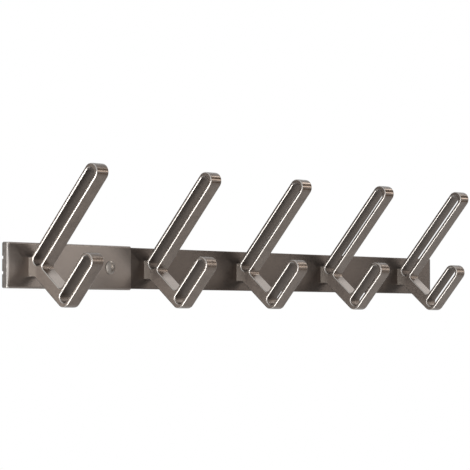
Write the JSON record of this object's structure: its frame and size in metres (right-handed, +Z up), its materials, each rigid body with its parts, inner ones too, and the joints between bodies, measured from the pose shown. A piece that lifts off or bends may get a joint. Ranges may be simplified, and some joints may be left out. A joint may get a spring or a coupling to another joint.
{
  "type": "extendable wall hook rail",
  "caption": "Extendable wall rail with double coat hooks; a folded sleeve carrying one hook slides along the bar to lengthen it.",
  "frame": {"origin": "on the wall plane, on the rail's centre line, midway between the two wall screws", "axes": "+X along the rail towards its fixed end, +Y into the wall, +Z up; the hooks reach out towards -Y"},
  "size_m": [0.4257, 0.058, 0.0814],
  "materials": {
    "gunmetal_bar": "satin gunmetal coat",
    "gunmetal_sheet": "satin gunmetal coat",
    "gunmetal_casting": "satin gunmetal plate on a zinc casting",
    "gunmetal_rivet": "satin gunmetal coat",
    "end_cap": "moulded plastic with a satin gunmetal coat",
    "screw_steel": "zinc plated steel"
  },
  "bodies": {
    "rail": {"inner_rail": "gunmetal_bar", "end_cap_right": "end_cap", "hook_2": "gunmetal_casting", "hook_3": "gunmetal_casting", "hook_4": "gunmetal_casting", "hook_5": "gunmetal_casting", "hook_screw_2": "screw_steel", "hook_screw_3": "screw_steel", "hook_screw_4": "screw_steel", "hook_screw_5": "screw_steel"},
    "sleeve": {"outer_sleeve": "gunmetal_sheet", "end_cap_left": "end_cap", "hook_1": "gunmetal_casting", "hook_screw_1": "screw_steel", "stop_rivet": "gunmetal_rivet"}
  },
  "joints": [
    {"name": "sleeve_slide", "type": "slide", "parent": "rail", "child": "sleeve", "axis": [-1, 0, 0], "range_m": [-0.0115, 0.036]}
  ]
}
